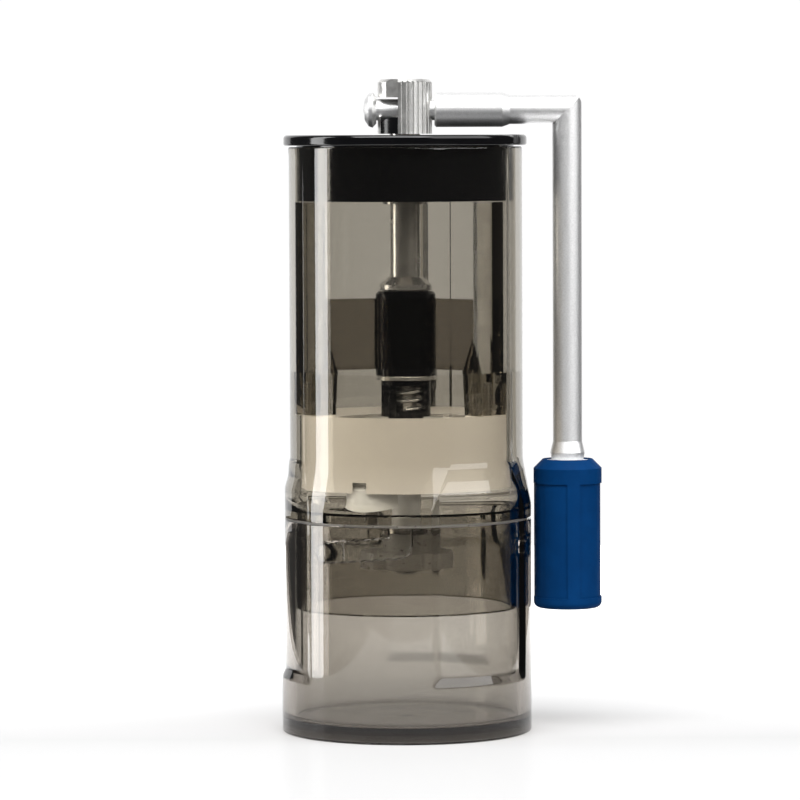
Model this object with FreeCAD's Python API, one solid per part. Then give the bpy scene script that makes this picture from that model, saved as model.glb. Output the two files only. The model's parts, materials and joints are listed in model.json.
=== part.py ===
# A travel-size hand crank coffee grinder: a clear smoke-coloured body over a bayonet cup,
# a conical burr set on a vertical drive shaft, and a crank that folds down beside the body.
# Millimetres, +Z up. The origin is the centre of the cup's base, on the shaft's axis.
# An azimuth is measured from the front (-Y) and grows towards +X.
import FreeCAD, Part
import math
import os

V = FreeCAD.Vector
UP = V(0, 0, 1)

# ---- driving dimensions -------------------------------------------------------------

# cup
CUP_R = 36.0  # outer radius of the cup and of the collar above it
CUP_H = 61.4
CUP_INNER_R = 32.2
FLOOR_T = 4.3
GASKET_T = 0.5
GASKET_PLAY = 0.1  # the gasket lies loose between the rim and the collar

# clear upper body
BODY_R = 33.6
BODY_TOP = 168.2
BODY_INNER_R = 31.6  # above the step line
LOWER_INNER_R = 30.25  # below it
STEP_Z = 104.0
FLARE_TOP = 78.5
FLARE_BOTTOM = 65.8
COLLAR_Z = CUP_H + GASKET_T + GASKET_PLAY
COLLAR_INNER_R = 32.6  # the wall stays about as thin behind the flare as above it
RELIEF_Z = (64.0, 65.2, 68.5, 77.0)
SKIRT_R = 31.8
SKIRT_Z = 36.0

# three shallow grip panels, one above the other on body and cup
PANEL_R = 35.0
PANEL_AZIMUTH = 41.0
PANEL_WIDTH = 59.0  # degrees between the panel's outer edges
PANEL_BEVEL = 4.2  # degrees taken up by each sloping side
PANEL_FLARE = ((33.79, 77.5), (34.0, 74.0), (PANEL_R, 70.4))
LEDGE_TOP = 18.6
LEDGE_BOTTOM = 16.1

# bayonet: a pin on the skirt runs in a sloping track inside the cup
PIN_R = 2.7
PIN_TIP_R = 34.1
PIN_Z = 53.7
PIN_AZIMUTH = -42.5
TRACK_R = 34.6  # bottom of the groove
TRACK_HALF = 3.05
TRACK_TURN = 39.6  # degrees from locked to the entry notch
TRACK_RISE = 2.0
ENTRY_HALF = 3.4
RIDGE_H = 0.2  # click ridge before the locked end
RIDGE_OFFSET = 11.0  # degrees from the locked end

# ribs, screw bosses and spider
RIB_AZIMUTH = 52.7
RIB_W = 5.2
RIB_IN = 25.4
RIB_TOP = 152.5
BOSS_AT = 25.9
BOSS_R = (4.3, 4.8)  # at the bottom and at the top
BOSS_Z = 91.9
SCREW_R = 1.6
HUB_R = 9.4
HUB_BORE = 6.9
SPIDER_Z = (104.6, 124.9)
WEB_T = 2.4
FOOT_TOP = 116.0

# drive line
UPPER_SHAFT_R = 4.4
LOWER_SHAFT_R = 3.0
COUPLER_R = 5.0
RUN = 0.05  # radial clearance of a running fit
HEX_AF = 6.0
HEX_PLAY = 0.1
HEX_Z = 113.0
CONE_Z = (127.1, 128.7, 131.0)
CONE_R = (7.6, 4.9)
WASHER_Z = (101.4, 102.6)
FLANGE_R = 8.65
SLEEVE_R = 7.1
SLEEVE_Z = 90.9
WINDOW_AZIMUTH = 18.0
SPRING_SEAT_Z = (89.2, 92.4)
SPRING_TOP = 100.2
SPRING_R = 4.7
SPRING_WIRE_R = 0.5
SPRING_TURNS = 2.75
SHAFT_TOP = 111.0
SHAFT_PITCH = 0.8

# burrs and carrier
CARRIER_R = 30.1
CARRIER_Z = (70.4, BOSS_Z)
CHUTE_R = 18.0  # the opening under the burrs
PAD_R = 4.2
BURR_OUTER_R = 20.0
BURR_SEAT = 75.0
BURR_Z = (75.2, 89.0)
BURR_WAIST = 81.5
BURR_TOP = 89.6
CONE_TOP_R = 6.5  # the inner burr's cone: top, waist and foot
CONE_WAIST_R = 12.4
CONE_FOOT_R = 15.2
TEETH = 16
ADJUSTER_Z = (46.4, 56.4)
DIAL_Z = (47.5, 52.0)
DIAL_R = 13.6
KNOB_R = 6.7
CLICK_R = 6.2
LOBES = 6

# lock nut under the carrier
NUT_AZIMUTH = -25.3
NUT_AT = 22.3
NUT_R = 7.1
NUT_Z = (64.8, 72.6)
STUD_R = 2.0
STUD_PITCH = 0.7
STUD_TIP = 61.4

# lid
LID_R = 34.9
LID_Z = (168.6, 171.6)
LID_SKIRT_R = 31.2
LID_SKIRT_Z = 152.8
LID_WALL = 2.2
LID_BUSH_R = 7.0

# crank
ARM_Z = 178.8
ARM_X = 46.5
ARM_R = 4.2
ARM_END_R = 4.95
ARM_END_Z = 77.6
ARM_FLARE_Z = (80.2, 83.4)
ARM_BEND_R = 3.0
NECK_R = 3.05
SHANK_R = 2.45
KNURL_R = 7.8
KNURL_Z = (171.9, 187.5)
FLUTES = 32
FLUTE_R = 0.42
NOTCH_X = -2.0  # the hub is cut back for the arm's pin to the left of this
SLOT_TOP = 182.4
BLOCK_TOP = 176.6
BLOCK_BACK = 3.5
SLEEVE_X = (8.5, 27.9, 30.0)
ARM_SLEEVE_R = 5.0
BUTTON_X = (-11.9, -8.2)
BUTTON_R = 5.15

# grip
GRIP_R = 9.8
GRIP_Z = (35.4, 78.3)
GRIP_CORE_R = 7.0
GRIP_BAND_Z = 71.4
SPINDLE_R = 2.2
SPINDLE_TOP = 98.0
GRIP_AZIMUTH = -51.5  # middle of the first recessed panel
GRIP_PANEL_W = 14.8


# ---- helpers --------------------------------------------------------------------------


def polar(radius, azimuth, z=0.0):
    a = math.radians(azimuth)
    return V(radius * math.sin(a), -radius * math.cos(a), z)


def disc(radius, z0, z1, at=V(0, 0, 0)):
    return Part.makeCylinder(radius, z1 - z0, V(at.x, at.y, z0))


def tube(outer, inner, z0, z1, at=V(0, 0, 0)):
    return disc(outer, z0, z1, at).cut(disc(inner, z0 - 1, z1 + 1, at))


def level_disc(radius, x0, x1):
    """A cylinder along X at the height of the crank arm."""
    return Part.makeCylinder(radius, x1 - x0, V(x0, 0, ARM_Z), V(1, 0, 0))


def cone(r0, r1, z0, z1, at=V(0, 0, 0)):
    return Part.makeCone(r0, r1, z1 - z0, V(at.x, at.y, z0))


def turned(profile):
    """The (radius, z) outline revolved about Z."""
    points = [V(r, 0, z) for r, z in profile]
    wire = Part.makePolygon(points + points[:1])
    return Part.Face(wire).revolve(V(0, 0, 0), UP, 360)


def box(x, y, z):
    """A box from three (low, high) pairs."""
    return Part.makeBox(x[1] - x[0], y[1] - y[0], z[1] - z[0], V(x[0], y[0], z[0]))


def prism(points, z0, z1):
    face = Part.Face(Part.makePolygon([V(p.x, p.y, z0) for p in points + points[:1]]))
    return face.extrude(V(0, 0, z1 - z0))


def hexagon(across_flats, z0, z1):
    r = across_flats / math.sqrt(3)
    return prism([polar(r, 60 * k) for k in range(6)], z0, z1)


def turn(shape, degrees, at=V(0, 0, 0), axis=UP):
    copy = shape.copy()
    copy.rotate(at, axis, degrees)
    return copy


def around(shape, count, start=0.0):
    """Copies of shape, evenly turned about Z."""
    return [turn(shape, start + 360.0 * k / count) for k in range(count)]


def joined(shapes):
    result = shapes[0]
    if len(shapes) > 1:
        result = shapes[0].multiFuse(shapes[1:])
    return result.removeSplitter()


def ring_edges(shape, radius, z, at=V(0, 0, 0)):
    """The circular edges of that radius about a vertical axis through at, at height z."""
    found = []
    for edge in shape.Edges:
        curve = edge.Curve
        if not isinstance(curve, Part.Circle):
            continue
        centre = curve.Center
        near = abs(centre.x - at.x) + abs(centre.y - at.y) + abs(centre.z - z) < 0.01
        if near and abs(curve.Radius - radius) < 0.01:
            found.append(edge)
    return found


def eased(shape, size, radius, z, at=V(0, 0, 0)):
    return shape.makeFillet(size, ring_edges(shape, radius, z, at))


def chamfered(shape, size, radius, z, at=V(0, 0, 0)):
    return shape.makeChamfer(size, ring_edges(shape, radius, z, at))


def threaded(root, crest, pitch, z0, z1, at=V(0, 0, 0)):
    """A rod with ring-shaped ridges that stand for its thread."""
    count = int((z1 - z0) / pitch)
    profile = [(0, z0), (root, z0)]
    for k in range(count):
        base = z0 + k * pitch
        for radius, share in ((root, 0.2), (crest, 0.5), (root, 0.8)):
            profile.append((radius, base + share * pitch))
    profile += [(root, z1), (0, z1)]
    rod = turned(profile)
    rod.translate(V(at.x, at.y, 0))
    return rod


NODES = {}


def keep(name, shape):
    NODES[name] = shape


# ---- grip panels and bayonet ------------------------------------------------------------


def wedge(azimuth, z0, z1):
    """The space over one panel, with sides that slope out from its flat floor."""
    low = azimuth - PANEL_WIDTH / 2
    high = azimuth + PANEL_WIDTH / 2
    reach = 3.0
    points = [V(0, 0, 0)]
    for edge, inward in ((low, 1), (high, -1)):
        foot = polar(PANEL_R, edge + inward * PANEL_BEVEL)
        lip = polar(CUP_R, edge)
        far = lip + (lip - foot) * (reach - 1)
        points += [foot, far] if inward > 0 else [far, foot]
    return prism(points, z0, z1)


def panel_cutter(profile):
    """Three ring segments with that outline, one over each panel."""
    ring = turned(profile)
    z0 = min(z for _, z in profile) - 1
    z1 = max(z for _, z in profile) + 1
    return [ring.common(wedge(PANEL_AZIMUTH + 120 * k, z0, z1)) for k in range(3)]


def track():
    """One bayonet groove: a sloping slot with a round locked end, and its entry notch."""
    steps = 12
    near = CUP_INNER_R - 3
    far = CUP_INNER_R + 5
    slope = []
    for k in range(steps + 1):
        share = k / steps
        slope.append((PIN_AZIMUTH + TRACK_TURN * share, PIN_Z + TRACK_RISE * share))
    pieces = [Part.makeCylinder(TRACK_HALF, far - near, polar(near, a, z), polar(1, a)) for a, z in slope]
    for start, end in zip(slope, slope[1:]):
        wires = []
        for a, z in (start, end):
            low = z - TRACK_HALF
            high = z + TRACK_HALF
            corners = [polar(near, a, low), polar(far, a, low), polar(far, a, high), polar(near, a, high)]
            wires.append(Part.makePolygon(corners + corners[:1]))
        pieces.append(Part.makeLoft(wires, True, True))
    end = PIN_AZIMUTH + TRACK_TURN
    notch = box(
        (-ENTRY_HALF, ENTRY_HALF), (-CUP_R - 1, 3 - CUP_INNER_R), (PIN_Z + TRACK_RISE, CUP_H + 1)
    )
    pieces.append(turn(notch, end))
    slot = pieces[0].multiFuse(pieces[1:])
    slot = slot.common(tube(TRACK_R, CUP_INNER_R - 1, SKIRT_Z, CUP_H + 1))
    ridge_at = PIN_AZIMUTH + RIDGE_OFFSET
    ridge = Part.makeCylinder(0.8, 12, polar(TRACK_R + 0.8 - RIDGE_H, ridge_at, PIN_Z - 6))
    return slot.cut(ridge)


# ---- cup and body ------------------------------------------------------------------------


def make_cup():
    cup = turned(
        [
            (0, 0),
            (CUP_R, 0),
            (CUP_R, CUP_H),
            (CUP_INNER_R, CUP_H),
            (CUP_INNER_R, FLOOR_T),
            (0, FLOOR_T),
        ]
    )
    cup = eased(cup, 0.8, CUP_R, 0)
    cup = eased(cup, 1.6, CUP_INNER_R, FLOOR_T)
    cup = cup.cut(disc(1.5, FLOOR_T - 0.4, FLOOR_T + 1))
    far = CUP_R + 2
    top = CUP_H + 1
    ledge = [(PANEL_R, LEDGE_TOP), (CUP_R, LEDGE_BOTTOM), (far, LEDGE_BOTTOM)]
    panels = panel_cutter(ledge + [(far, top), (PANEL_R, top)])
    tracks = around(track(), 3)
    keep("cup", cup.cut(panels + tracks))
    keep("rim_gasket", tube(PANEL_R - 0.1, CUP_INNER_R + 0.3, CUP_H, CUP_H + GASKET_T))


def body_shell():
    shell = turned(
        [
            (BODY_INNER_R, BODY_TOP),
            (BODY_R, BODY_TOP),
            (BODY_R, FLARE_TOP),
            (CUP_R, FLARE_BOTTOM),
            (CUP_R, COLLAR_Z),
            (SKIRT_R, COLLAR_Z),
            (SKIRT_R, SKIRT_Z),
            (LOWER_INNER_R, SKIRT_Z),
            (LOWER_INNER_R, RELIEF_Z[0]),
            (COLLAR_INNER_R, RELIEF_Z[1]),
            (COLLAR_INNER_R, RELIEF_Z[2]),
            (LOWER_INNER_R, RELIEF_Z[3]),
            (LOWER_INNER_R, STEP_Z),
            (BODY_INNER_R, STEP_Z),
        ]
    )
    shell = eased(shell, 0.5, BODY_R, BODY_TOP)
    shell = eased(shell, 6.0, BODY_R, FLARE_TOP)
    shell = eased(shell, 2.0, CUP_R, FLARE_BOTTOM)
    far = CUP_R + 2
    below = COLLAR_Z - 1
    outside = [(PANEL_R, below), (far, below), (far, PANEL_FLARE[0][1])]
    return shell.cut(panel_cutter(list(PANEL_FLARE) + outside))


def rib_and_boss():
    """One inner rib with the screw boss at its foot, at azimuth 0."""
    rib = box((-RIB_W / 2, RIB_W / 2), (-BODY_INNER_R - 0.6, -RIB_IN), (STEP_Z, RIB_TOP))
    centre = polar(BOSS_AT, 0)
    boss = cone(BOSS_R[0], BOSS_R[1], BOSS_Z, STEP_Z, centre)
    back = box((-RIB_W / 2, RIB_W / 2), (-BODY_INNER_R - 0.6, -BOSS_AT), (BOSS_Z, STEP_Z))
    solid = joined([rib, boss, back])
    return solid.cut(disc(SCREW_R, BOSS_Z - 1, BOSS_Z + 10.5, centre))


def bayonet_pin():
    start = polar(SKIRT_R - 0.8, PIN_AZIMUTH, PIN_Z)
    pin = Part.makeCylinder(PIN_R, PIN_TIP_R - SKIRT_R + 0.8, start, polar(1, PIN_AZIMUTH))
    crown = disc(PIN_TIP_R, PIN_Z - 5, PIN_Z + 5)
    return pin.common(crown)


def make_body():
    shell = body_shell()
    inside = disc(BODY_R - 0.5, BOSS_Z, RIB_TOP)
    ribs = [rib.common(inside) for rib in around(rib_and_boss(), 3, RIB_AZIMUTH)]
    keep("hopper_body", joined([shell] + ribs + around(bayonet_pin(), 3)))


def make_spider():
    low, high = SPIDER_Z
    pieces = [tube(HUB_R, HUB_BORE, low, high)]
    for k in range(3):
        a = RIB_AZIMUTH + 120 * k
        web = box((-WEB_T / 2, WEB_T / 2), (-RIB_IN, -HUB_BORE - 1), (low, high))
        pieces.append(turn(web, a))
        foot = cone(BOSS_R[1], WEB_T / 2, STEP_Z, FOOT_TOP, polar(BOSS_AT, 0))
        foot = foot.cut(box((-10, 10), (-40, -RIB_IN), (STEP_Z - 1, FOOT_TOP + 1)))
        pieces.append(turn(foot, a))
    keep("bearing_spider", joined(pieces))


# ---- drive line ---------------------------------------------------------------------------


def make_bushes():
    low, high = SPIDER_Z
    middle = 114.0
    bore = COUPLER_R + RUN
    upper = joined([tube(HUB_BORE, bore, middle, high), tube(FLANGE_R, bore, high, high + 2.0)])
    keep("upper_bush", chamfered(upper, 0.9, FLANGE_R, high + 2.0))
    lower = joined([tube(HUB_BORE, bore, low, middle), tube(FLANGE_R, bore, WASHER_Z[1] + 0.2, low)])
    keep("lower_bush", lower)


def make_drive():
    bottom = ADJUSTER_Z[0] - 1.0
    thread_top = ADJUSTER_Z[1] + 1.0
    shaft = joined(
        [
            disc(LOWER_SHAFT_R, thread_top, SHAFT_TOP),
            threaded(LOWER_SHAFT_R - 0.45, LOWER_SHAFT_R - 0.02, SHAFT_PITCH, bottom, thread_top),
        ]
    )
    keep("lower_shaft", shaft)
    coupler_top = SPIDER_Z[1] + 1.5
    coupler = disc(COUPLER_R, WASHER_Z[1], coupler_top)
    coupler = coupler.cut(disc(LOWER_SHAFT_R, WASHER_Z[1] - 1, SHAFT_TOP))
    coupler = coupler.cut(hexagon(HEX_AF, HEX_Z, coupler_top + 1))
    keep("drive_coupler", chamfered(coupler, 0.5, COUPLER_R, coupler_top))
    washer = tube(FLANGE_R, LOWER_SHAFT_R, *WASHER_Z)
    keep("thrust_washer", eased(washer, 0.3, FLANGE_R, WASHER_Z[1]))


def make_spring_sleeve():
    bore = SPRING_R + SPRING_WIRE_R + 0.5
    sleeve = tube(SLEEVE_R, bore, SLEEVE_Z, SPRING_TOP)
    sleeve = joined([sleeve, tube(SLEEVE_R, LOWER_SHAFT_R, SPRING_TOP, WASHER_Z[0])])
    window = box((-4.6, 4.6), (-SLEEVE_R - 1, -3), (SLEEVE_Z + 1.4, SPRING_TOP - 0.4))
    cuts = [turn(window, WINDOW_AZIMUTH), turn(window, WINDOW_AZIMUTH + 180)]
    flute = disc(0.5, SLEEVE_Z - 0.1, WASHER_Z[0] - 1.3, V(0, -SLEEVE_R, 0))
    for side in (0, 180):
        cuts += [turn(flute, side - 72 + 12 * k) for k in range(4)]
    keep("spring_sleeve", sleeve.cut(cuts))


def make_spring():
    """A loft through circles that stand square to the helix."""
    low = SPRING_SEAT_Z[1] + SPRING_WIRE_R
    climb = SPRING_TOP - SPRING_WIRE_R - low
    slope = climb / (2 * math.pi * SPRING_TURNS)
    stations = round(12 * SPRING_TURNS)
    rings = []
    for k in range(stations + 1):
        share = k / stations
        a = 360 * SPRING_TURNS * share
        forward = polar(SPRING_R, a + 90, slope)
        centre = polar(SPRING_R, a, low + climb * share)
        rings.append(Part.Wire(Part.makeCircle(SPRING_WIRE_R, centre, forward)))
    keep("burr_spring", Part.makeLoft(rings, True, False))


def tooth_cutter(r_top, r_bottom, z0, z1, width, depth, twist):
    """A slanted groove cutter that follows a cone's side."""
    wires = []
    steps = 4
    for k in range(steps + 1):
        share = k / steps
        r = r_bottom + (r_top - r_bottom) * share
        z = z0 + (z1 - z0) * share
        a = twist * share
        w = width * (0.6 + 0.6 * share)
        tip = polar(r - depth, a, z)
        left = polar(r + 2.5, a - math.degrees(w / r), z)
        right = polar(r + 2.5, a + math.degrees(w / r), z)
        wires.append(Part.makePolygon([tip, left, right, tip]))
    return Part.makeLoft(wires, True, True)


def make_burrs():
    z0, z1 = BURR_Z
    waist = BURR_WAIST
    inner = turned(
        [
            (0, z0),
            (CONE_FOOT_R, z0),
            (CONE_FOOT_R, z0 + 0.8),
            (CONE_WAIST_R, waist),
            (CONE_TOP_R, z1),
            (0, z1),
        ]
    )
    fine = tooth_cutter(CONE_WAIST_R, CONE_FOOT_R, z0 - 0.5, waist, 0.7, 0.9, 14)
    coarse = tooth_cutter(CONE_TOP_R + 0.5, CONE_WAIST_R, waist - 0.4, z1 + 0.5, 1.5, 2.4, 40)
    inner = inner.cut(around(fine, 2 * TEETH) + around(coarse, TEETH // 2))
    keep("inner_burr", inner.cut(disc(LOWER_SHAFT_R + RUN, z0 - 1, z1 + 1)))
    outer = turned(
        [
            (BURR_OUTER_R, BURR_SEAT),
            (BURR_OUTER_R, BURR_TOP),
            (14.6, BURR_TOP),
            (13.3, waist),
            (15.95, BURR_SEAT),
        ]
    )
    slot = box((-0.45, 0.45), (-15.4, -12), (waist - 1, BURR_TOP + 1))
    keep("outer_burr", outer.cut(around(slot, TEETH)))
    keep("burr_retaining_ring", tube(BURR_OUTER_R, 17.6, BURR_TOP, BURR_TOP + 0.8))


def make_carrier():
    low, high = CARRIER_Z
    carrier = turned(
        [
            (CARRIER_R, low),
            (CARRIER_R, high),
            (CARRIER_R - 1.0, high),
            (BURR_OUTER_R + 0.6, BURR_TOP + 0.9),
            (BURR_OUTER_R, BURR_TOP + 0.9),
            (BURR_OUTER_R, BURR_SEAT),
            (CHUTE_R, BURR_SEAT),
            (CHUTE_R, low),
        ]
    )
    centre = polar(BOSS_AT, 0)
    pad = disc(PAD_R, low + 8, high, centre).common(disc(CARRIER_R, low, high))
    carrier = joined([carrier] + around(pad, 3, RIB_AZIMUTH))
    pocket = disc(NUT_R + 0.9, low - 1, NUT_Z[1] + 0.8, polar(NUT_AT, NUT_AZIMUTH))
    cuts = [pocket, disc(STUD_R, NUT_Z[1], NUT_Z[1] + 8, polar(NUT_AT, NUT_AZIMUTH))]
    seat = low + 12
    bore = disc(3.1, low - 1, seat, centre).fuse(disc(SCREW_R - 0.05, low, high + 1, centre))
    cuts += around(bore, 3, RIB_AZIMUTH)
    keep("burr_carrier", carrier.cut(cuts))
    socket = hexagon(2.6, seat - 3.0, seat - 1.6).translated(centre)
    head = disc(2.9, seat - 2.4, seat, centre).cut(socket)
    screw = joined([head, threaded(SCREW_R - 0.45, SCREW_R - 0.05, 1.1, seat, BOSS_Z + 9.5, centre)])
    keep("carrier_screws", Part.Compound(around(screw, 3, RIB_AZIMUTH)))


def make_lock_nut():
    at = polar(NUT_AT, NUT_AZIMUTH)
    low, high = NUT_Z
    keep("lock_stud", threaded(STUD_R - 0.35, STUD_R, STUD_PITCH, STUD_TIP, high + 8, at))
    nut = disc(NUT_R, low, high, at)
    nut = chamfered(nut, 1.3, NUT_R, high, at)
    skirt = cone(NUT_R + 0.3, NUT_R, low, low + 1.8, at)
    nut = joined([nut, skirt]).cut(disc(STUD_R + RUN, low - 1, high + 1, at))
    slot = box((at.x - NUT_R - 1, at.x + NUT_R + 1), (at.y - 0.6, at.y + 0.6), (low - 1, low + 1.2))
    keep("lock_nut", nut.cut(slot))
    keep("lock_washer", tube(5.6, STUD_R + RUN, high, high + 0.6, at))


def make_adjuster():
    low, high = ADJUSTER_Z
    knob = eased(disc(KNOB_R, low, high), 1.8, KNOB_R, low)
    dial = disc(DIAL_R, *DIAL_Z)
    scallop = disc(3.6, DIAL_Z[0] - 1, DIAL_Z[1] + 1, V(0, -DIAL_R - 1.4, 0))
    dial = dial.cut(around(scallop, LOBES, 180.0 / LOBES))
    wheel = joined([knob, dial]).cut(disc(LOWER_SHAFT_R + RUN, low - 1, high + 1))
    keep("adjuster_wheel", wheel)
    bore = LOWER_SHAFT_R + RUN
    plate = tube(CLICK_R, bore, high + 0.1, high + 0.9)
    notch = disc(0.5, high, high + 1, V(0, -CLICK_R, 0))
    keep("click_disc", plate.cut(around(notch, 12)))
    keep("burr_spacer", tube(4.2, bore, high + 0.9, BURR_Z[0]))
    keep("spring_seat", tube(5.1, bore, *SPRING_SEAT_Z))


# ---- lid and crank ------------------------------------------------------------------------


def make_lid():
    low, high = LID_Z
    inside = LID_SKIRT_R - LID_WALL
    lid = turned(
        [
            (LID_BUSH_R, low),
            (LID_BUSH_R, high),
            (LID_R, high),
            (LID_R, low),
            (LID_SKIRT_R, low),
            (LID_SKIRT_R, LID_SKIRT_Z),
            (inside, LID_SKIRT_Z),
            (inside, low),
        ]
    )
    lid = eased(lid, 1.0, LID_R, high)
    keep("lid", eased(lid, 0.6, LID_R, low))
    keep("lid_base", tube(inside, LID_BUSH_R, LID_SKIRT_Z, LID_SKIRT_Z + LID_WALL))
    keep("lid_bush", tube(LID_BUSH_R, UPPER_SHAFT_R + RUN, LID_SKIRT_Z, high))


def make_hub():
    low, high = KNURL_Z
    wall = KNURL_R - 0.9
    hub = chamfered(disc(KNURL_R, low, high), 0.9, KNURL_R, high)
    cuts = [
        box((-9, NOTCH_X), (-9, 9), (BLOCK_TOP, SLOT_TOP)),
        box((-wall, NOTCH_X), (-9, BLOCK_BACK), (low - 1, BLOCK_TOP + 1)),
        box((-9, NOTCH_X), (-9, -5.6), (SLOT_TOP - 1, high + 1)),
        level_disc(NECK_R + RUN, -10, 10),
        disc(UPPER_SHAFT_R, low - 1, ARM_Z - NECK_R - 0.6),
        disc(1.8, ARM_Z, high + 1),
    ]
    pitch = 360.0 / FLUTES
    for k in range(FLUTES):
        foot = polar(KNURL_R + 0.05, (k + 0.5) * pitch)
        if foot.x > NOTCH_X + FLUTE_R:
            cuts.append(disc(FLUTE_R, low - 1, high + 1, foot))
    keep("crank_hub", hub.cut(cuts))
    block = box((-wall, NOTCH_X), (-KNURL_R, BLOCK_BACK), (low, BLOCK_TOP))
    block = block.common(disc(KNURL_R - 0.2, low, high))
    round_r = 9.0
    rounding = Part.makeCylinder(round_r, 30, V(-2.4, -15, BLOCK_TOP - round_r), V(0, 1, 0))
    block = block.common(rounding)
    room = level_disc(NECK_R + 0.3, -15, 15)
    keep("hub_insert", block.cut([disc(UPPER_SHAFT_R, low - 1, BLOCK_TOP + 1), room]))
    screw = disc(1.8, ARM_Z + NECK_R + 0.5, high - 0.7)
    keep("hub_screw", screw.cut(hexagon(1.8, high - 2.4, high)))


def make_upper_shaft():
    top = ARM_Z - NECK_R - 0.6
    shaft = disc(UPPER_SHAFT_R, CONE_Z[0], top)
    spigot = hexagon(HEX_AF - 2 * HEX_PLAY, HEX_Z + 0.6, CONE_Z[0])
    keep("upper_shaft", joined([shaft, spigot]))
    low, rim, high = CONE_Z
    collar = turned(
        [
            (UPPER_SHAFT_R, low),
            (CONE_R[0], low),
            (CONE_R[0], rim),
            (CONE_R[1], high),
            (UPPER_SHAFT_R, high),
        ]
    )
    keep("shaft_collar", eased(collar, 0.4, CONE_R[0], low))
    clip = tube(6.6, UPPER_SHAFT_R, LID_SKIRT_Z - 1.0, LID_SKIRT_Z - 0.2)
    keep("shaft_clip", clip.cut(box((-1.5, 1.5), (0, 10), (150, 156))))


def make_arm():
    tip = V(ARM_X, 0, 0)
    start = SLEEVE_X[1]
    level = level_disc(ARM_R, start, ARM_X + ARM_R + 1)
    drop = disc(ARM_R, ARM_END_Z, ARM_Z + ARM_R + 1, tip)
    corner = level.common(drop)
    level = level.common(box((0, ARM_X), (-9, 9), (ARM_Z - 9, ARM_Z + 9)))
    drop = drop.common(box((ARM_X - 9, ARM_X + 9), (-9, 9), (0, ARM_Z)))
    low, high = ARM_FLARE_Z
    foot = cone(ARM_END_R - 0.5, ARM_END_R, ARM_END_Z, low, tip)
    arm = joined([level, drop, corner, foot, cone(ARM_END_R, ARM_R, low, high, tip)])
    # the bend's outer corner is rounded over
    cx = ARM_X + ARM_R - ARM_BEND_R
    cz = ARM_Z + ARM_R - ARM_BEND_R
    round_over = Part.makeCylinder(ARM_BEND_R, 18, V(cx, -9, cz), V(0, 1, 0))
    arm = arm.cut(box((cx, cx + 9), (-9, 9), (cz, cz + 9)).cut(round_over))
    arm = arm.cut(disc(SPINDLE_R, ARM_END_Z - 1, SPINDLE_TOP, tip))
    keep("crank_arm", arm.cut(level_disc(SHANK_R, start - 1, start + 7)))


def make_pivot():
    """The sleeve round the arm's root and the headed pin that it turns with."""
    x_axis = V(1, 0, 0)
    first, last, end = SLEEVE_X
    sleeve = level_disc(ARM_SLEEVE_R, first, last)
    rim = [edge for edge in sleeve.Edges if abs(edge.BoundBox.XMax - first) < 0.01]
    sleeve = sleeve.makeChamfer(0.5, rim)
    collar = Part.makeCone(ARM_SLEEVE_R, ARM_R + 0.05, end - last, V(last, 0, ARM_Z), x_axis)
    sleeve = joined([sleeve, collar.cut(level_disc(ARM_R, last, end + 1))])
    keep("pivot_sleeve", sleeve.cut(level_disc(SHANK_R, 0, end + 1)))

    x0, x1 = BUTTON_X
    outline = [
        V(x0, 0, 0),
        V(x0 + 0.4, 0, 3.0),
        V(x0 + 1.5, 0, 4.7),
        V(x0 + 2.6, 0, BUTTON_R),
        V(x1, 0, BUTTON_R - 1.2),
        V(x1, 0, 0),
    ]
    button = Part.Face(Part.makePolygon(outline + outline[:1])).revolve(V(0, 0, 0), x_axis, 360)
    button.translate(V(0, 0, ARM_Z))
    shank = level_disc(SHANK_R, first, last + 6)
    keep("pivot_pin", joined([button, level_disc(NECK_R, x1, first), shank]))


def make_grip():
    tip = V(ARM_X, 0, 0)
    low, high = GRIP_Z
    floor = low + 1.6
    sleeve = disc(GRIP_R, low, high, tip)
    sleeve = eased(sleeve, 1.8, GRIP_R, low, tip)
    sleeve = chamfered(sleeve, 2.6, GRIP_R, high, tip)
    cuts = [disc(GRIP_CORE_R, floor, high + 1, tip)]
    span = (low + 3.2, GRIP_BAND_Z)
    half = GRIP_PANEL_W / 2
    shell = tube(GRIP_R + 2, GRIP_R - 0.4, *span)
    recess = box((-half, half), (-GRIP_R - 2, 0), span).common(shell)
    flat = box((0.4 - half, half - 0.4), (-GRIP_R - 1, 0.45 - GRIP_R), span)
    recess = recess.fuse(flat)
    for k in range(3):
        cuts.append(turn(recess, GRIP_AZIMUTH + 120 * k).translated(tip))
    keep("grip_sleeve", sleeve.cut(cuts))

    core = disc(GRIP_CORE_R, floor, high - 0.5, tip)
    bore = [
        disc(SPINDLE_R + RUN, floor - 1, high, tip),
        disc(ARM_END_R + 0.45, ARM_END_Z - 0.7, high + 1, tip),
        disc(4.2, floor - 1, floor + 4.0, tip),
    ]
    keep("grip_core", core.cut(bore))
    foot = floor + 3.4
    thread = disc(1.2, foot - 1, foot + 12, tip)
    keep("grip_spindle", disc(SPINDLE_R, foot, SPINDLE_TOP, tip).cut(thread))
    keep("grip_washer", tube(3.7, 1.25, foot - 0.6, foot, tip))
    head = eased(disc(2.6, foot - 2.2, foot - 0.6, tip), 0.4, 2.6, foot - 2.2, tip)
    screw = joined([head, disc(1.2, foot - 0.6, foot + 10, tip)])
    keep("grip_screw", screw.cut(hexagon(2.0, foot - 3, foot - 1.5).translated(tip)))


make_cup()
make_body()
make_spider()
make_bushes()
make_drive()
make_spring_sleeve()
make_spring()
make_burrs()
make_carrier()
make_lock_nut()
make_adjuster()
make_lid()
make_hub()
make_upper_shaft()
make_arm()
make_pivot()
make_grip()

os.makedirs("parts", exist_ok=True)
for name, shape in NODES.items():
    shape.exportStep(f"parts/{name}.step")
    print(name, shape.isValid(), len(shape.Solids), round(shape.Volume, 1))
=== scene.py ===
import json
import math

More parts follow.
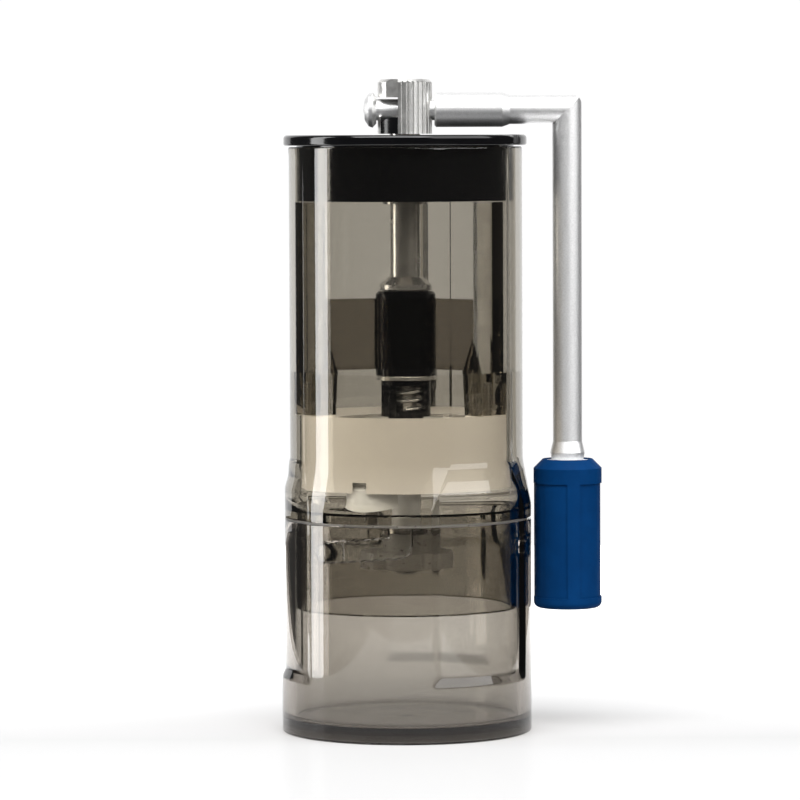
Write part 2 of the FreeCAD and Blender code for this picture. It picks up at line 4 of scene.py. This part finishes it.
import bpy
import numpy as np
from mathutils import Matrix, Vector


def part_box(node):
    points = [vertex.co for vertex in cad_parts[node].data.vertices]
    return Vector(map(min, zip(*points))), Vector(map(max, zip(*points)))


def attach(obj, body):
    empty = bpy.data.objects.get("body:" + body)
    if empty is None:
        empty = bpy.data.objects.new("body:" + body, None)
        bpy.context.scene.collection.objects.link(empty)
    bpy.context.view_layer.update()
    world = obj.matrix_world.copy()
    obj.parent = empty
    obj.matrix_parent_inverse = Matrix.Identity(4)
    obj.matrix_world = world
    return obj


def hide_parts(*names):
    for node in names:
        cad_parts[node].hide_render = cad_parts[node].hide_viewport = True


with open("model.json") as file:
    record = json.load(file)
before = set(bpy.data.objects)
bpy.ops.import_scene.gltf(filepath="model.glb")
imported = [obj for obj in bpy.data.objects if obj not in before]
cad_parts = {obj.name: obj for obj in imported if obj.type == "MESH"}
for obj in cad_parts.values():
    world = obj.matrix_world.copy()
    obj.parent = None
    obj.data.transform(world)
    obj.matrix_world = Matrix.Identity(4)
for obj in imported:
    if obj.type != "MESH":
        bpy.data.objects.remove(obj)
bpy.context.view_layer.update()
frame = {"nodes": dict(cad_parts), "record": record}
nodes = frame["nodes"]

MM = 0.001
AROUND = 600  # steps round the clear shells

# ---- sizes read from the frame -------------------------------------------------------

cup_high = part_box("cup")[1]
body_low, body_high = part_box("hopper_body")
CUP_R = cup_high.y / MM
CUP_H = cup_high.z / MM
BODY_TOP = body_high.z / MM
SKIRT_Z = body_low.z / MM

# Radii and heights of features inside the two clear shells, in millimetres
CUP_INNER_R = 32.2
FLOOR_T = 4.3
BODY_R = 33.6
BODY_INNER_R = 31.6
LOWER_INNER_R = 30.25
STEP_Z = 104.0
COLLAR_Z = CUP_H + 0.6
COLLAR_INNER_R = 32.6
RELIEF_Z = (64.0, 65.2, 68.5, 77.0)
SKIRT_R = 31.8
FLARE = (65.8, 78.5)
PANEL_R = 35.0
PANEL_AZIMUTHS = (41.0, 161.0, -79.0)
PANEL_WIDTH = 59.0
PANEL_BEVEL = 4.2
LEDGE = (16.1, 18.6)
PIN_AZIMUTHS = (-42.5, 77.5, -162.5)
PIN_Z = 53.7
PIN_R = 2.7
PIN_TIP_R = 34.1
TRACK_R = 34.6
TRACK_HALF = 3.05
TRACK_TURN = 39.6
TRACK_RISE = 2.0
ENTRY_HALF = 3.4
RIB_AZIMUTHS = (52.7, 172.7, -67.3)
RIB_HALF_ANGLE = 5.2
RIB_IN = 25.4
RIB_TOP = 152.5
BOSS_Z = 91.9
BOSS_AT = 25.9
BOSS_R = (4.3, 4.8)  # at the bottom and at the step line
PANEL_FLARE_Z = (70.4, 74.0, 77.5, 79.0)
PANEL_FLARE_R = (PANEL_R, 34.0, 33.79, 33.4)
CLICK_AHEAD = 11.0  # degrees from a pin to the click bump in its track
CLICK_WIDTH = 0.8
CLICK_HEIGHT = 0.2
DIMPLE_R = 1.7
DIMPLE_DEPTH = 0.4


# ---- mesh helpers -----------------------------------------------------------------------


def soft_min(a, b, k):
    return -k * np.logaddexp(-np.asarray(a, float) / k, -np.asarray(b, float) / k)


def soft_max(a, b, k):
    return k * np.logaddexp(np.asarray(a, float) / k, np.asarray(b, float) / k)


def step_up(x, width):
    """0 below 0 and 1 above width, smoothly."""
    t = np.clip(np.asarray(x, float) / width, 0, 1)
    return t * t * (3 - 2 * t)


def off_angle(azimuth, centre):
    """Signed difference of two azimuths, in degrees, from -180 to 180."""
    return (azimuth - centre + 180.0) % 360.0 - 180.0


def heights(*spans):
    """Rows of heights: each span is (from, to, spacing)."""
    rows = []
    for start, end, gap in spans:
        count = max(1, int(round(abs(end - start) / gap)))
        rows += [start + (end - start) * k / count for k in range(count)]
    return rows + [spans[-1][1]]


def smooth_faces(obj, angle=38.0):
    obj.data.shade_smooth()
    obj.data.set_sharp_from_angle(angle=math.radians(angle))


def shell(name, rows, loop=False):
    """A closed mesh from rings. Each row is (radii, height), and a radius of 0 is a centre point."""
    azimuth = np.radians(np.arange(AROUND) * 360.0 / AROUND)
    verts, starts = [], []
    for radius, height in rows:
        starts.append(len(verts))
        if np.ndim(radius) == 0 and radius == 0:
            verts.append((0, 0, height * MM))
            continue
        r = np.broadcast_to(radius, azimuth.shape) * MM
        z = np.broadcast_to(height, azimuth.shape) * MM
        verts += list(zip(r * np.sin(azimuth), -r * np.cos(azimuth), z))
    single = [np.ndim(r) == 0 and r == 0 for r, _ in rows]
    faces = []
    pairs = list(zip(range(len(rows)), range(1, len(rows))))
    if loop:
        pairs.append((len(rows) - 1, 0))
    for a, b in pairs:
        for k in range(AROUND):
            n = (k + 1) % AROUND
            if single[a]:
                faces.append((starts[a], starts[b] + n, starts[b] + k))
            elif single[b]:
                faces.append((starts[a] + k, starts[a] + n, starts[b]))
            else:
                faces.append((starts[a] + k, starts[a] + n, starts[b] + n, starts[b] + k))
    mesh = bpy.data.meshes.new(name)
    mesh.from_pydata(verts, [], faces)
    mesh.update()
    obj = bpy.data.objects.new(name, mesh)
    bpy.context.scene.collection.objects.link(obj)
    smooth_faces(obj)
    return obj


AZIMUTH = np.arange(AROUND) * 360.0 / AROUND


# ---- the two clear shells ------------------------------------------------------------------


def panel_side(azimuth):
    """Radius of the panels' sloping sides: PANEL_R at the flat floor's edge, CUP_R at the outer edge."""
    rise = (CUP_R - PANEL_R) / PANEL_BEVEL
    inner_half = PANEL_WIDTH / 2 - PANEL_BEVEL
    sides = [PANEL_R + rise * (np.abs(off_angle(azimuth, a)) - inner_half) for a in PANEL_AZIMUTHS]
    return np.minimum.reduce(sides)


def cup_outer(z):
    ledge = PANEL_R + (LEDGE[1] - z) * (CUP_R - PANEL_R) / (LEDGE[1] - LEDGE[0])
    walls = soft_max(panel_side(AZIMUTH), ledge, 0.22)
    return soft_min(CUP_R, soft_max(PANEL_R, walls, 0.05), 0.04)


def track_depth(z):
    """How far inside a bayonet track's outline each azimuth is at this height, in millimetres."""
    best = np.full(AROUND, -9.0)
    for start in PIN_AZIMUTHS:
        off = off_angle(AZIMUTH, start)
        along = np.clip(off / TRACK_TURN, 0, 1)
        axis_z = PIN_Z + TRACK_RISE * along
        side = np.radians(off - along * TRACK_TURN) * TRACK_R
        slot = TRACK_HALF - np.hypot(side, z - axis_z)
        mouth = np.radians(off - TRACK_TURN) * TRACK_R
        notch = np.minimum(ENTRY_HALF - np.abs(mouth), z - (PIN_Z + TRACK_RISE))
        best = np.maximum(best, np.maximum(slot, notch))
    return best


def cup_inner(z):
    radius = CUP_INNER_R + (TRACK_R - CUP_INNER_R) * step_up(track_depth(z) + 0.1, 0.35)
    for start in PIN_AZIMUTHS:
        click = np.exp(-((off_angle(AZIMUTH, start + CLICK_AHEAD) / CLICK_WIDTH) ** 2))
        radius = radius - CLICK_HEIGHT * click * (np.abs(z - PIN_Z) < TRACK_HALF)
    return radius


def fillet(radius, z, size, turn, steps=6):
    """Quarter round from (radius - size, z) out to (radius, z + turn * size)."""
    rows = []
    for k in range(steps + 1):
        t = math.pi / 2 * k / steps
        rows.append((radius - size + size * math.sin(t), z + turn * (size - size * math.cos(t))))
    return rows


def build_cup():
    edge = 0.8
    corner = 1.6
    rows = [(0, 0.0), (np.float64(20.0), 0.0)]
    rows += [(np.float64(r), z) for r, z in fillet(CUP_R, 0.0, edge, 1)]
    for z in heights((2.0, 15.4, 2.6), (15.4, 19.6, 0.3), (19.6, 60.9, 3.0)):
        rows.append((cup_outer(z), z))
    rows.append((cup_outer(61.2) - 0.05, CUP_H - 0.15))
    rows.append((cup_outer(61.2) - 0.25, CUP_H))
    rows.append((cup_inner(CUP_H) + 0.25, CUP_H))
    for z in heights((CUP_H - 0.2, 50.0, 0.28), (50.0, 6.2, 4.0)):
        rows.append((cup_inner(z), z))
    for r, z in reversed(fillet(CUP_INNER_R, FLOOR_T, corner, 1)):
        rows.append((np.float64(r), z))
    rows.append((np.float64(12.0), FLOOR_T))
    rows.append((np.float64(DIMPLE_R), FLOOR_T))
    rows.append((np.float64(DIMPLE_R - 0.25), FLOOR_T - DIMPLE_DEPTH + 0.05))
    rows.append((0, FLOOR_T - DIMPLE_DEPTH))
    return shell("cup_shell", rows)


def body_outer(z):
    slope = (CUP_R - BODY_R) / (FLARE[1] - FLARE[0])
    cone = CUP_R - (z - FLARE[0]) * slope
    plain = soft_max(BODY_R, soft_min(CUP_R, cone, 0.05), 0.09)
    floor = np.interp(z, PANEL_FLARE_Z, PANEL_FLARE_R)
    return soft_min(plain, soft_max(floor, panel_side(AZIMUTH), 0.08), 0.05)


def skirt_outer(z):
    radius = np.full(AROUND, SKIRT_R)
    for start in PIN_AZIMUTHS:
        side = np.radians(off_angle(AZIMUTH, start)) * SKIRT_R
        inside = PIN_R - np.hypot(side, z - PIN_Z)
        radius = radius + (PIN_TIP_R - SKIRT_R) * step_up(inside + 0.05, 0.5)
    return radius


def body_inner(z):
    relief = np.interp(z, RELIEF_Z, [LOWER_INNER_R, COLLAR_INNER_R, COLLAR_INNER_R, LOWER_INNER_R])
    wall = BODY_INNER_R if z > STEP_Z else relief
    radius = np.full(AROUND, wall)
    for centre in RIB_AZIMUTHS:
        off = off_angle(AZIMUTH, centre)
        if STEP_Z - 0.01 <= z <= RIB_TOP:
            face = RIB_IN / np.cos(np.radians(np.clip(off, -20, 20)))
            radius = np.where(np.abs(off) <= RIB_HALF_ANGLE, np.minimum(radius, face), radius)
        elif BOSS_Z <= z < STEP_Z:
            boss_r = np.interp(z, (BOSS_Z, STEP_Z), BOSS_R)
            a = np.radians(np.clip(off, -20, 20))
            under = boss_r**2 - (BOSS_AT * np.sin(a)) ** 2
            near = BOSS_AT * np.cos(a) - np.sqrt(np.maximum(under, 0))
            radius = np.where((np.abs(off) < 20) & (under > 0), np.minimum(radius, near), radius)
    return radius


def build_body():
    rim = 0.5
    rows = [(np.float64(r), z) for r, z in fillet(BODY_R, BODY_TOP, rim, -1)]
    for z in heights((165.0, 84.0, 9.0), (84.0, 80.0, 1.0), (80.0, 62.6, 0.3)):
        rows.append((body_outer(z), z))
    rows.append((body_outer(COLLAR_Z + 0.2) - 0.04, COLLAR_Z + 0.12))
    rows.append((body_outer(COLLAR_Z + 0.2) - 0.2, COLLAR_Z))
    rows.append((np.full(AROUND, SKIRT_R + 0.3), COLLAR_Z))
    rows.append((np.full(AROUND, SKIRT_R), COLLAR_Z - 0.3))
    for z in heights((60.0, 57.2, 1.4), (57.2, 50.2, 0.28), (50.2, SKIRT_Z + 0.4, 3.5)):
        rows.append((skirt_outer(z), z))
    rows.append((np.float64(SKIRT_R - 0.35), SKIRT_Z))
    rows.append((np.float64(LOWER_INNER_R + 0.35), SKIRT_Z))
    lower = (SKIRT_Z + 0.4, RELIEF_Z[0] - 0.2, 5.0)
    relief_foot = (RELIEF_Z[0], RELIEF_Z[1], 0.4)
    relief_head = (RELIEF_Z[2], RELIEF_Z[3], 2.0)
    low = heights(lower, relief_foot, relief_head, (79.0, BOSS_Z - 0.02, 5.0))
    boss = heights((BOSS_Z, STEP_Z - 0.02, 1.5))
    rib = heights((STEP_Z + 0.02, RIB_TOP, 6.0))
    top = heights((RIB_TOP + 0.05, BODY_TOP - 0.3, 4.0))
    for z in low + boss + rib + top:
        rows.append((body_inner(z), z))
    rows.append((np.float64(BODY_INNER_R + 0.3), BODY_TOP))
    return shell("body_shell", rows[::-1], loop=True)


# ---- materials --------------------------------------------------------------------------------


class Paint:
    """One procedural material: a Principled shader with noise behind its colour, roughness and bump."""

    def __init__(self, name):
        self.material = bpy.data.materials.new(name)
        self.material.use_nodes = True
        self.tree = self.material.node_tree
        self.tree.nodes.clear()
        self.out = self.tree.nodes.new("ShaderNodeOutputMaterial")
        self.bsdf = self.tree.nodes.new("ShaderNodeBsdfPrincipled")
        self.link(self.bsdf.outputs[0], self.out.inputs["Surface"])
        self.place = self.tree.nodes.new("ShaderNodeTexCoord").outputs["Object"]

    def link(self, a, b):
        self.tree.links.new(a, b)

    def set(self, **values):
        for name, value in values.items():
            self.bsdf.inputs[name.replace("_", " ")].default_value = value
        return self

    def stretched(self, scale):
        mapping = self.tree.nodes.new("ShaderNodeMapping")
        mapping.inputs["Scale"].default_value = scale
        self.link(self.place, mapping.inputs["Vector"])
        return mapping.outputs[0]

    def noise(self, scale, detail=3.0, stretch=None):
        node = self.tree.nodes.new("ShaderNodeTexNoise")
        node.inputs["Scale"].default_value = scale
        node.inputs["Detail"].default_value = detail
        self.link(self.place if stretch is None else self.stretched(stretch), node.inputs["Vector"])
        return node.outputs["Fac"]

    def cells(self, scale):
        node = self.tree.nodes.new("ShaderNodeTexVoronoi")
        node.inputs["Scale"].default_value = scale
        self.link(self.place, node.inputs["Vector"])
        return node.outputs["Distance"]

    def range(self, value, low, high, start=0.3, end=0.7):
        node = self.tree.nodes.new("ShaderNodeMapRange")
        node.inputs["From Min"].default_value = start
        node.inputs["From Max"].default_value = end
        node.inputs["To Min"].default_value = low
        node.inputs["To Max"].default_value = high
        self.link(value, node.inputs["Value"])
        return node.outputs[0]

    def mixed(self, factor, low, high):
        node = self.tree.nodes.new("ShaderNodeMix")
        node.data_type = "RGBA"
        self.link(factor, node.inputs["Factor"])
        for socket, value in ((node.inputs["A"], low), (node.inputs["B"], high)):
            if isinstance(value, tuple):
                socket.default_value = (*value, 1.0)
            else:
                self.link(value, socket)
        return node.outputs["Result"]

    def colour(self, factor, low, high):
        result = self.mixed(factor, low, high)
        self.link(result, self.bsdf.inputs["Base Color"])
        return result

    def worn(self, base, wear, start=0.53, end=0.6):
        """Lightens or darkens the convex edges."""
        point = self.tree.nodes.new("ShaderNodeNewGeometry").outputs["Pointiness"]
        edge = self.range(point, 0.0, 1.0, start, end)
        broken = self.tree.nodes.new("ShaderNodeMath")
        broken.operation = "MULTIPLY"
        self.link(edge, broken.inputs[0])
        self.link(self.range(self.noise(700.0, 4.0), 0.0, 1.0, 0.4, 0.62), broken.inputs[1])
        self.link(self.mixed(broken.outputs[0], base, wear), self.bsdf.inputs["Base Color"])

    def rough(self, value, low, high):
        self.link(self.range(value, low, high), self.bsdf.inputs["Roughness"])

    def bump(self, value, height, strength=1.0, below=None):
        node = self.tree.nodes.new("ShaderNodeBump")
        node.inputs["Strength"].default_value = strength
        node.inputs["Distance"].default_value = height * MM
        self.link(value, node.inputs["Height"])
        if below is not None:
            self.link(below, node.inputs["Normal"])
        self.link(node.outputs[0], self.bsdf.inputs["Normal"])
        return node.outputs[0]


def shade(colour, factor):
    return tuple(min(1.0, c * factor) for c in colour)


def smoke_plastic(name, tint, passed, density):
    """Clear smoke-coloured plastic: the wall's tint, and a colour that darkens with thickness."""
    p = Paint(name)
    p.set(Base_Color=(*tint, 1), Transmission_Weight=1.0, IOR=1.52, Roughness=0.02)
    smear = p.noise(45.0, 4.0)
    p.rough(smear, 0.008, 0.035)
    waves = p.bump(p.noise(70.0, 1.0), 0.02, 0.10)
    p.bump(p.noise(1400.0, 3.0, (1.0, 1.0, 0.25)), 0.004, 0.12, waves)
    lamp = p.tree.nodes.new("ShaderNodeLightPath").outputs["Is Shadow Ray"]
    through = p.tree.nodes.new("ShaderNodeBsdfTransparent")
    through.inputs[0].default_value = (1, 1, 1, 1)
    both = p.tree.nodes.new("ShaderNodeMixShader")
    p.link(lamp, both.inputs[0])
    p.link(p.bsdf.outputs[0], both.inputs[1])
    p.link(through.outputs[0], both.inputs[2])
    p.link(both.outputs[0], p.out.inputs["Surface"])
    volume = p.tree.nodes.new("ShaderNodeVolumeAbsorption")
    volume.inputs["Color"].default_value = (*passed, 1)
    volume.inputs["Density"].default_value = density
    p.link(volume.outputs[0], p.out.inputs["Volume"])
    return p.material


def black_plastic(name, gloss):
    p = Paint(name)
    p.colour(p.range(p.noise(120.0, 3.0), 0, 1), (0.0015, 0.0016, 0.002), (0.003, 0.003, 0.0035))
    p.rough(p.noise(260.0, 4.0), gloss * 0.8, gloss * 1.3)
    fine = p.bump(p.noise(2600.0, 3.0), 0.004, 0.10)
    p.bump(p.noise(40.0, 1.0), 0.03, 0.10, fine)
    p.set(Specular_IOR_Level=0.4, IOR=1.5)
    return p.material


def moulded(name, colour, roughness, grain=900.0, depth=0.02):
    """Opaque moulded plastic with a fine spark-eroded grain."""
    p = Paint(name)
    tone = p.range(p.noise(90.0, 4.0), 0, 1)
    p.colour(tone, shade(colour, 0.98), shade(colour, 1.01))
    p.rough(p.noise(420.0, 4.0), roughness * 0.9, roughness * 1.1)
    p.bump(p.noise(grain, 3.0), depth, 0.15)
    return p.material


def turned_steel(name, colour, roughness, metal=1.0, along=(1.0, 1.0, 60.0), wear=1.08):
    """Metal with fine turning marks round the Z axis."""
    p = Paint(name)
    rings = p.noise(90.0, 4.0, along)
    base = p.colour(p.range(rings, 0, 1), shade(colour, 0.93), shade(colour, 1.04))
    p.worn(base, shade(colour, wear))
    p.rough(p.noise(150.0, 4.0), roughness * 0.8, roughness * 1.3)
    p.bump(rings, 0.006, 0.25)
    p.set(Metallic=metal)
    return p.material


def blasted_aluminium(name):
    p = Paint(name)
    grain = p.noise(2400.0, 2.0)
    tone = p.range(grain, 0, 1, 0.25, 0.75)
    p.colour(tone, (0.78, 0.78, 0.78), (0.92, 0.92, 0.92))
    p.rough(p.noise(2000.0, 2.0), 0.40, 0.50)
    coarse = p.bump(grain, 0.015, 0.3)
    p.bump(p.cells(3600.0), 0.008, 0.2, coarse)
    p.set(Metallic=1.0)
    return p.material


def nickel(name):
    p = Paint(name)
    grain = p.noise(1500.0, 3.0)
    p.colour(p.range(grain, 0, 1), (0.74, 0.735, 0.715), (0.82, 0.815, 0.795))
    p.rough(p.noise(700.0, 4.0), 0.30, 0.38)
    p.bump(grain, 0.004, 0.15)
    p.set(Metallic=1.0)
    return p.material


def blue_rubber(name):
    p = Paint(name)
    tone = p.range(p.noise(160.0, 5.0), 0, 1)
    p.colour(tone, (0.0, 0.022, 0.085), (0.0002, 0.027, 0.102))
    p.rough(p.noise(500.0, 4.0), 0.5, 0.72)
    p.bump(p.noise(3200.0, 4.0), 0.03, 0.4)
    p.set(Specular_IOR_Level=0.05, IOR=1.45)
    return p.material


def sintered(name, colour):
    p = Paint(name)
    base = p.colour(p.range(p.cells(2600.0), 0, 1, 0.1, 0.6), shade(colour, 0.7), colour)
    p.worn(base, shade(colour, 1.3))
    p.rough(p.noise(900.0, 3.0), 0.3, 0.55)
    p.bump(p.noise(2600.0, 3.0), 0.03, 0.4)
    p.set(Metallic=1.0)
    return p.material


def silicone(name, colour, passing):
    p = Paint(name)
    p.colour(p.range(p.noise(200.0, 3.0), 0, 1), shade(colour, 0.92), colour)
    p.rough(p.noise(600.0, 3.0), 0.25, 0.4)
    p.bump(p.noise(1500.0, 3.0), 0.01, 0.2)
    p.set(Transmission_Weight=passing, IOR=1.41)
    return p.material


body_smoke = smoke_plastic("smoke_body", (0.70, 0.68, 0.64), (0.33, 0.28, 0.17), 150.0)
cup_smoke = smoke_plastic("smoke_cup", (0.68, 0.67, 0.64), (0.33, 0.25, 0.17), 120.0)
spider_smoke = smoke_plastic("smoke_spider", (0.36, 0.33, 0.29), (0.33, 0.28, 0.17), 150.0)
gloss_black = black_plastic("black_gloss", 0.10)
clear_wheel = silicone("clear_wheel", (0.88, 0.87, 0.85), 0.6)
MATERIALS = {
    "smoke_plastic": body_smoke,
    "clear_silicone": silicone("silicone", (0.30, 0.28, 0.26), 0.7),
    "black_plastic": black_plastic("black_satin", 0.20),
    "cream_plastic": moulded("cream_plastic", (0.92, 0.88, 0.83), 0.42),
    "ceramic": moulded("ceramic", (0.82, 0.81, 0.78), 0.3, 1600.0, 0.03),
    "white_nylon": moulded("white_nylon", (0.97, 0.98, 0.98), 0.36, 1100.0),
    "polished_steel": turned_steel("turned_steel", (0.68, 0.66, 0.63), 0.22, 0.85),
    "nickel": nickel("nickel"),
    "bronze": sintered("bronze", (0.52, 0.34, 0.18)),
    "hex_steel": turned_steel("black_steel", (0.20, 0.20, 0.21), 0.32),
    "blasted_aluminium": blasted_aluminium("blasted_aluminium"),
    "blue_rubber": blue_rubber("blue_rubber"),
}


def paint_frame():
    """Gives every CAD node the material of its slot in the record, apart from a few by name."""
    for part in frame["record"]["subparts"]:
        obj = nodes[part["node"]]
        for place in obj.material_slots:
            place.material = MATERIALS[part["material_slot"]]
    for node in ("lid", "upper_bush", "lower_bush"):
        for place in nodes[node].material_slots:
            place.material = gloss_black
    for place in nodes["bearing_spider"].material_slots:
        place.material = spider_smoke
    for place in nodes["adjuster_wheel"].material_slots:
        place.material = clear_wheel


def add_shell(obj, node, body, material):
    obj.data.materials.append(material)
    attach(obj, body)
    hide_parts(node)


# ---- camera, lights and floor --------------------------------------------------------------------


def look_at(obj, target, roll=0.0):
    direction = Vector(target) - obj.location
    turn = direction.to_track_quat("-Z", "Y").to_matrix()
    obj.rotation_euler = (turn @ Matrix.Rotation(math.radians(roll), 3, "Z")).to_euler()


def add_camera():
    data = bpy.data.cameras.new("camera")
    data.lens = 209.5
    data.sensor_width = 36.0
    camera = bpy.data.objects.new("camera", data)
    camera.location = (-0.0017, -1.338, 0.172)
    look_at(camera, (-0.0017, 0, 0.0954), CAMERA_ROLL)
    bpy.context.scene.collection.objects.link(camera)
    bpy.context.scene.camera = camera


def softbox(name, azimuth, elevation, distance, size, brightness, aim=(0, 0, 0.1)):
    """An area light of that radiance, seen from aim in that direction."""
    a, e = math.radians(azimuth), math.radians(elevation)
    data = bpy.data.lights.new(name, "AREA")
    data.shape = "RECTANGLE"
    data.size, data.size_y = size
    data.energy = brightness * math.pi * size[0] * size[1]
    lamp = bpy.data.objects.new(name, data)
    way = Vector((math.cos(e) * math.sin(a), -math.cos(e) * math.cos(a), math.sin(e)))
    lamp.location = Vector(aim) + way * distance
    look_at(lamp, aim)
    bpy.context.scene.collection.objects.link(lamp)


def add_world(strength, seen):
    """A dim studio, whose empty background is seen as a pale wall."""
    world = bpy.data.worlds.new("studio")
    bpy.context.scene.world = world
    world.use_nodes = True
    back = world.node_tree.nodes["Background"]
    back.inputs["Color"].default_value = (1.0, 1.0, 1.0, 1)
    path = world.node_tree.nodes.new("ShaderNodeLightPath")
    level = world.node_tree.nodes.new("ShaderNodeMapRange")
    level.inputs["To Min"].default_value = strength
    level.inputs["To Max"].default_value = seen
    world.node_tree.links.new(path.outputs["Is Camera Ray"], level.inputs["Value"])
    world.node_tree.links.new(level.outputs[0], back.inputs["Strength"])


def flat_sheet(name, corners):
    mesh = bpy.data.meshes.new(name)
    mesh.from_pydata(corners, [], [(0, 1, 2, 3)])
    obj = bpy.data.objects.new(name, mesh)
    bpy.context.scene.collection.objects.link(obj)
    return obj


def add_floor_and_backdrop():
    """A pale floor in front of a lit white backdrop. The floor glows with painted light: its emission
    grows brighter towards the back.
    """
    side, front, back, half, height = 0.18, -0.30, 0.6, 0.55, 1.2
    floor = flat_sheet("floor", [(-side, front, 0), (side, front, 0), (side, back, 0), (-side, back, 0)])
    p = Paint("studio_floor")
    p.colour(p.range(p.noise(3.0, 2.0), 0, 1), (0.41, 0.41, 0.412), (0.43, 0.43, 0.432))
    p.set(Specular_IOR_Level=0.0, Roughness=1.0, Emission_Color=(1, 1, 1, 1))
    split = p.tree.nodes.new("ShaderNodeSeparateXYZ")
    p.link(p.place, split.inputs[0])
    # painted light: the floor's emission rises from 0.04 near the front to 1.0 towards the back, a glow
    # standing in for lamplight
    p.link(p.range(split.outputs["Y"], 0.04, 1.0, -0.02, 0.25), p.bsdf.inputs["Emission Strength"])
    gloss = p.tree.nodes.new("ShaderNodeBsdfGlossy")
    gloss.inputs["Roughness"].default_value = 0.12
    both = p.tree.nodes.new("ShaderNodeMixShader")
    both.inputs[0].default_value = 0.07
    p.link(p.bsdf.outputs[0], both.inputs[1])
    p.link(gloss.outputs[0], both.inputs[2])
    p.link(both.outputs[0], p.out.inputs["Surface"])
    floor.data.materials.append(p.material)
    sheet = flat_sheet(
        "backdrop", [(-half, back, 0), (half, back, 0), (half, back, height), (-half, back, height)]
    )
    light = Paint("studio_backdrop")
    light.set(Base_Color=(0, 0, 0, 1), Emission_Color=(1, 1, 1, 1), Emission_Strength=1.02)
    light.set(Specular_IOR_Level=0.0, Roughness=1.0)
    sheet.data.materials.append(light.material)


CAMERA_ROLL = -0.22
add_camera()
add_world(0.06, 1.0)
softbox("strip_left", -90, 6, 1.0, (0.30, 1.5), 7.6)
softbox("key_right", 57, 36, 1.3, (1.6, 1.3), 3.4)
softbox("fill_front", -18, 54, 1.3, (1.4, 0.7), 9.5)
softbox("top", 20, 80, 1.2, (1.2, 1.2), 0.9)
add_floor_and_backdrop()

paint_frame()
add_shell(build_cup(), "cup", "cup", cup_smoke)
add_shell(build_body(), "hopper_body", "housing", body_smoke)

bpy.context.scene.view_settings.view_transform = "Standard"
